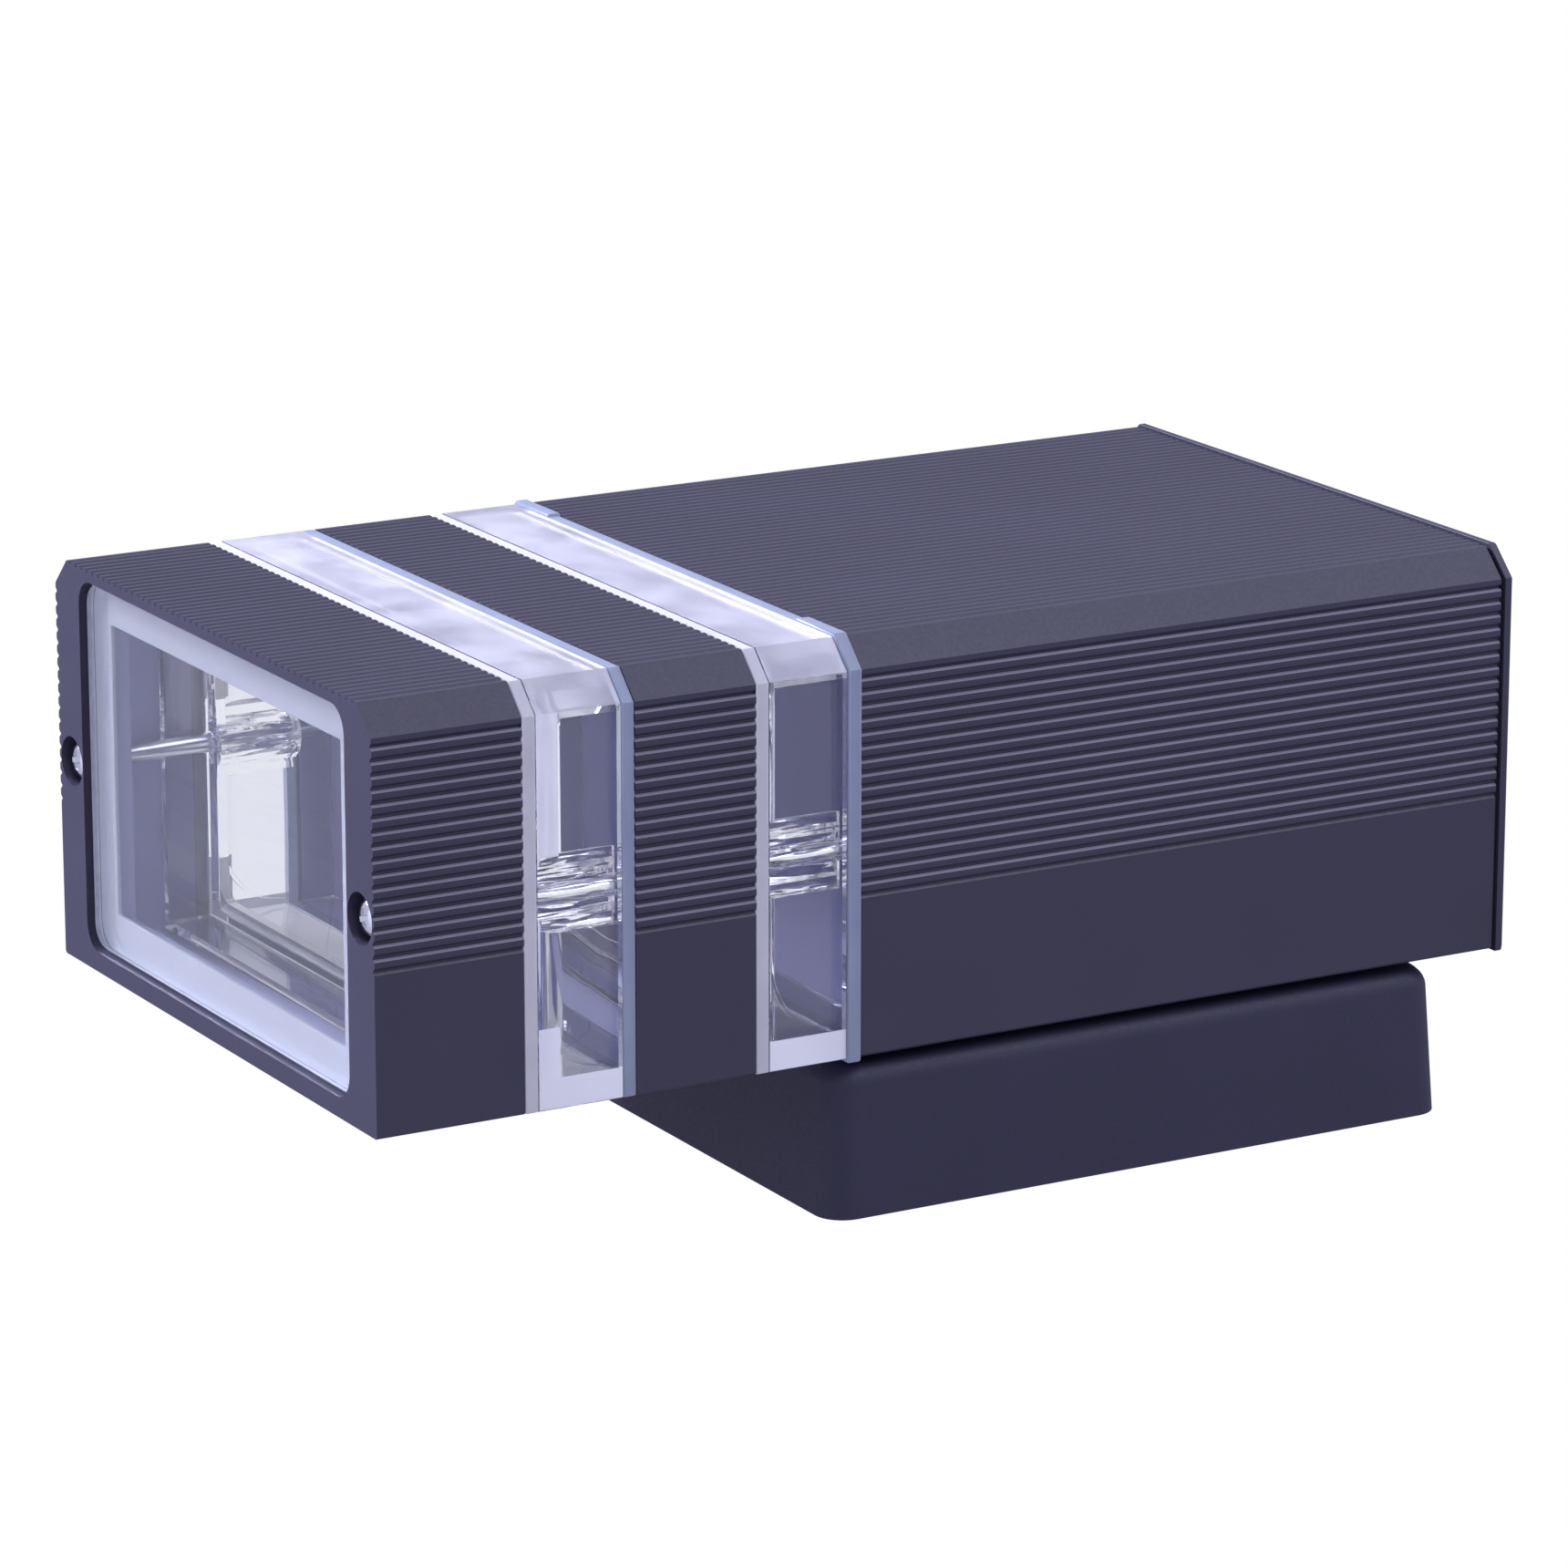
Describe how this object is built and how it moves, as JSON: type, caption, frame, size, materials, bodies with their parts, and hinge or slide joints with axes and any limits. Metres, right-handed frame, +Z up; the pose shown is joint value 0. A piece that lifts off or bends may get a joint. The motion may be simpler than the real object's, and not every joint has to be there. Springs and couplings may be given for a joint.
{
  "type": "swivel wall luminaire",
  "caption": "Outdoor wall luminaire: ribbed metal head with a window and two clear light bands, on a square swivel wall box.",
  "frame": {"origin": "centre of the wall fixing slots on the wall plane, on the swivel axis", "axes": "+Z up the wall, towards the end cap; the window looks down, -Z; +Y into the wall, so the lamp stands out to -Y"},
  "size_m": [0.107, 0.086, 0.1895],
  "materials": {
    "powder_coat": "fine-textured anthracite powder coat on extruded aluminium",
    "box_coat": "satin anthracite powder coat on die-cast aluminium",
    "clear_ring": "clear moulded polycarbonate",
    "pane": "clear tempered glass",
    "silicone": "translucent white silicone",
    "bright_screw": "bright zinc-plated cross-recess screws",
    "black_rubber": "black rubber",
    "zinc_steel": "zinc-plated steel",
    "nylon": "black nylon",
    "sleeve": "woven glass-fibre sleeve",
    "steatite": "unglazed steatite",
    "brass": "plain brass",
    "terminal_plastic": "white polyamide",
    "lead_brown": "brown silicone insulation",
    "lead_blue": "blue silicone insulation",
    "lead_green": "green and yellow insulation"
  },
  "bodies": {
    "wall_mount": {"wall_box": "box_coat", "box_screws": "bright_screw", "wall_seal": "black_rubber", "wall_plate": "zinc_steel", "box_earth_screw": "brass", "cable_grommet": "black_rubber", "terminal_block": "terminal_plastic", "terminal_barrels": "brass", "terminal_screws": "brass", "box_live_lead": "lead_brown", "box_neutral_lead": "lead_blue", "box_earth_lead": "lead_green", "box_earth_link": "lead_green"},
    "lamp_head": {"front_frame": "powder_coat", "window_gasket": "silicone", "window_glass": "pane", "lower_clear_ring": "clear_ring", "middle_segment": "powder_coat", "upper_clear_ring": "clear_ring", "seal_front": "silicone", "seal_middle_lower": "silicone", "seal_middle_upper": "silicone", "seal_housing": "silicone", "tie_screws": "bright_screw", "tie_screw_seals": "black_rubber", "main_housing": "powder_coat", "end_cap_gasket": "black_rubber", "end_cap": "powder_coat", "end_cap_screws": "bright_screw", "swivel_stem": "zinc_steel", "head_stem_nut": "zinc_steel", "box_stem_nut": "zinc_steel", "head_stem_washer": "zinc_steel", "box_stem_washer": "zinc_steel", "swivel_disc": "nylon", "lead_sleeve": "sleeve", "lampholder_bracket": "zinc_steel", "lampholder": "steatite", "lampholder_screws": "bright_screw", "head_earth_screw": "brass", "head_live_lead": "lead_brown", "head_neutral_lead": "lead_blue", "head_earth_lead": "lead_green"}
  },
  "joints": [
    {"name": "head_swivel", "type": "hinge", "parent": "wall_mount", "child": "lamp_head", "pos_m": [0, -0.024, 0], "axis": [0, 1, 0], "range_deg": [-90, 90]}
  ]
}
